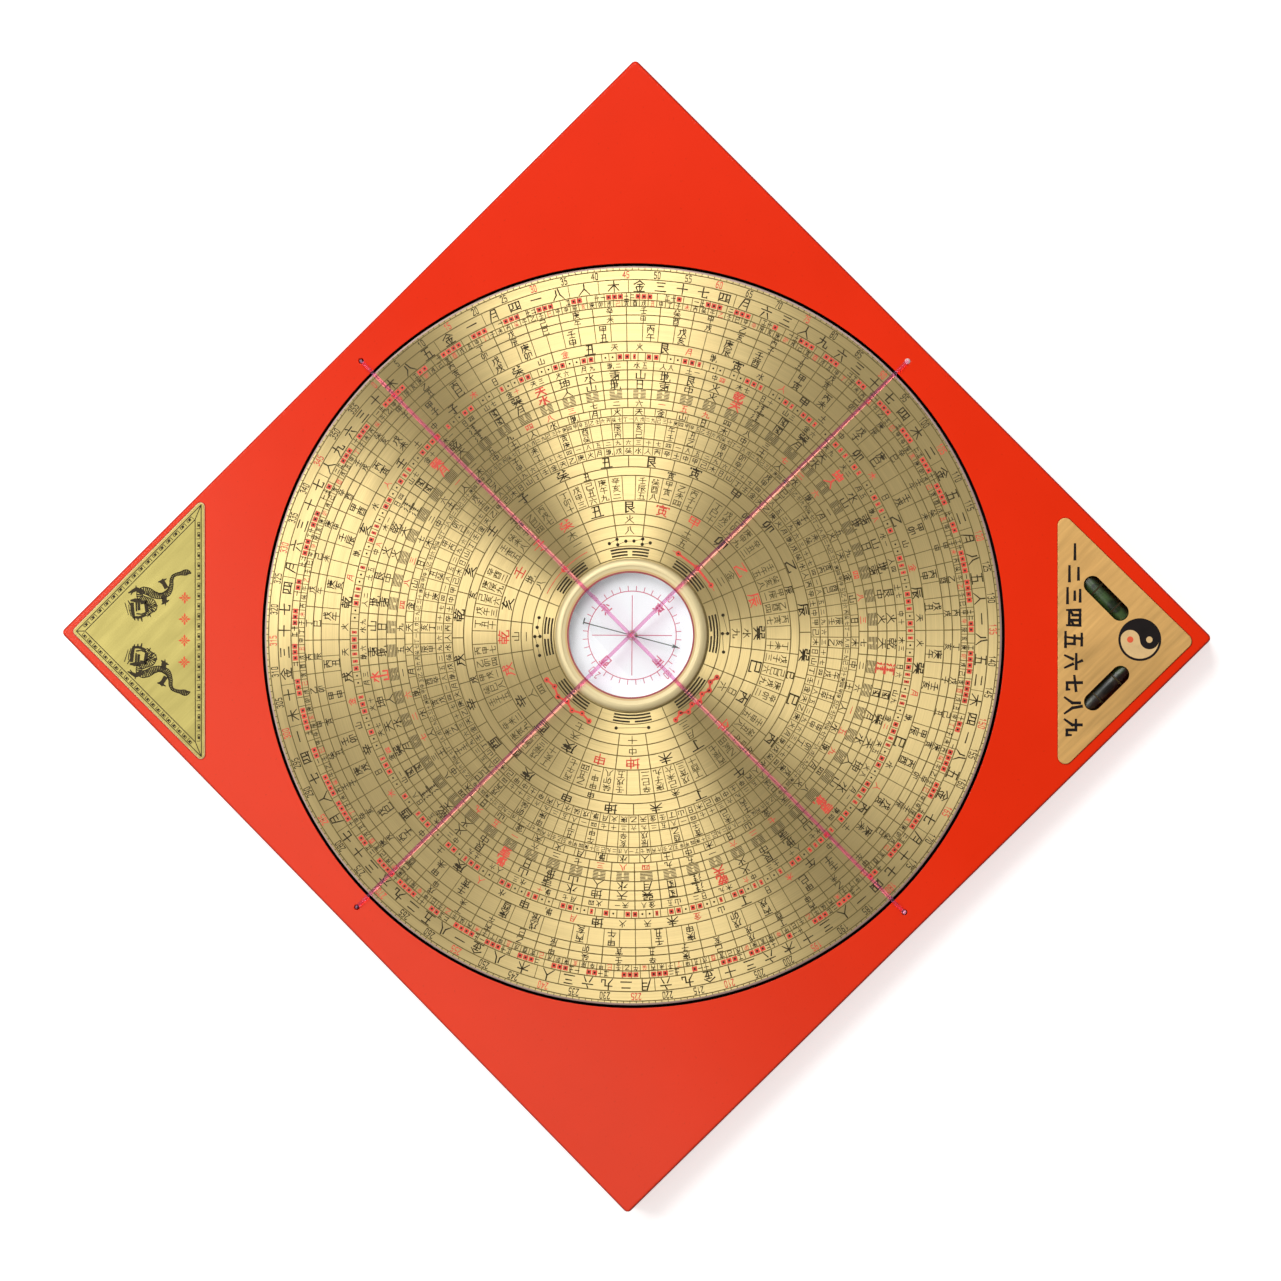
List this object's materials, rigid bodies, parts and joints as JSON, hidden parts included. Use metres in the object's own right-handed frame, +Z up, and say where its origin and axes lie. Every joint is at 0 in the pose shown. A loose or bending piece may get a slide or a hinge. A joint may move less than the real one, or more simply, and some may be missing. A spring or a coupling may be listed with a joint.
{
  "type": "chinese compass",
  "caption": "Square geomantic compass: red base with two corner plates, turning brass dial, needle capsule and two cross threads.",
  "frame": {"origin": "middle of the base's underside, under the crossing of the two threads", "axes": "+Z up out of the dial's face; X and Y square to the base's sides, along the two threads; +Y is the dial's north at rest and +X its east"},
  "size_m": [0.286, 0.286, 0.0242],
  "materials": {
    "red_lacquer": "glossy red lacquer over a moulded base",
    "bearing_bronze": "turned bronze",
    "gold_plate": "satin gold-coloured plate",
    "level_plate_brass": "straight-brushed brass",
    "pink_thread": "twisted thread",
    "clear_acrylic": "clear",
    "green_spirit": "clear green liquid",
    "bubble_air": "air bubble",
    "dial_brass": "brushed in circles about the centre",
    "bright_steel": "bright turned steel",
    "black_phenolic": "turned black phenolic",
    "white_card": "matt white card",
    "black_rubber": "matt",
    "clear_glass": "clear flat glass",
    "bezel_brass": "turned and polished",
    "blued_steel": "thin blued spring steel"
  },
  "bodies": {
    "base": {"base_plate": "red_lacquer", "pivot_bush": "bearing_bronze", "plain_corner_plate": "gold_plate", "level_corner_plate": "level_plate_brass", "thread_x": "pink_thread", "thread_y": "pink_thread", "thread_knot_1": "pink_thread", "thread_knot_2": "pink_thread", "thread_knot_3": "pink_thread", "thread_knot_4": "pink_thread", "vial_x_tube": "clear_acrylic", "vial_x_plug": "clear_acrylic", "vial_x_liquid": "green_spirit", "vial_y_tube": "clear_acrylic", "vial_y_plug": "clear_acrylic", "vial_y_liquid": "green_spirit"},
    "dial": {"dial_core": "black_phenolic", "dial_face": "dial_brass", "dial_hub": "dial_brass", "retaining_washer": "bright_steel", "retaining_screw": "bright_steel", "capsule_cup": "dial_brass", "compass_card": "white_card", "lens_gasket": "black_rubber", "capsule_lens": "clear_glass", "capsule_bezel": "bezel_brass", "pivot_pin": "bright_steel"},
    "needle": {"compass_needle": "blued_steel", "needle_cap": "bezel_brass"},
    "bubble_x": {"vial_x_bubble": "bubble_air"},
    "bubble_y": {"vial_y_bubble": "bubble_air"}
  },
  "joints": [
    {"name": "dial_turn", "type": "hinge", "parent": "base", "child": "dial", "pos_m": [0, 0, 0.009], "axis": [0, 0, 1], "continuous": true},
    {"name": "needle_swing", "type": "hinge", "parent": "dial", "child": "needle", "pos_m": [0, 0, 0.018], "axis": [0, 0, 1], "continuous": true},
    {"name": "bubble_x_slide", "type": "slide", "parent": "base", "child": "bubble_x", "axis": [1, 0, 0], "range_m": [-0.0042, 0.0042]},
    {"name": "bubble_y_slide", "type": "slide", "parent": "base", "child": "bubble_y", "axis": [0, 1, 0], "range_m": [-0.0006, 0.0078]}
  ]
}
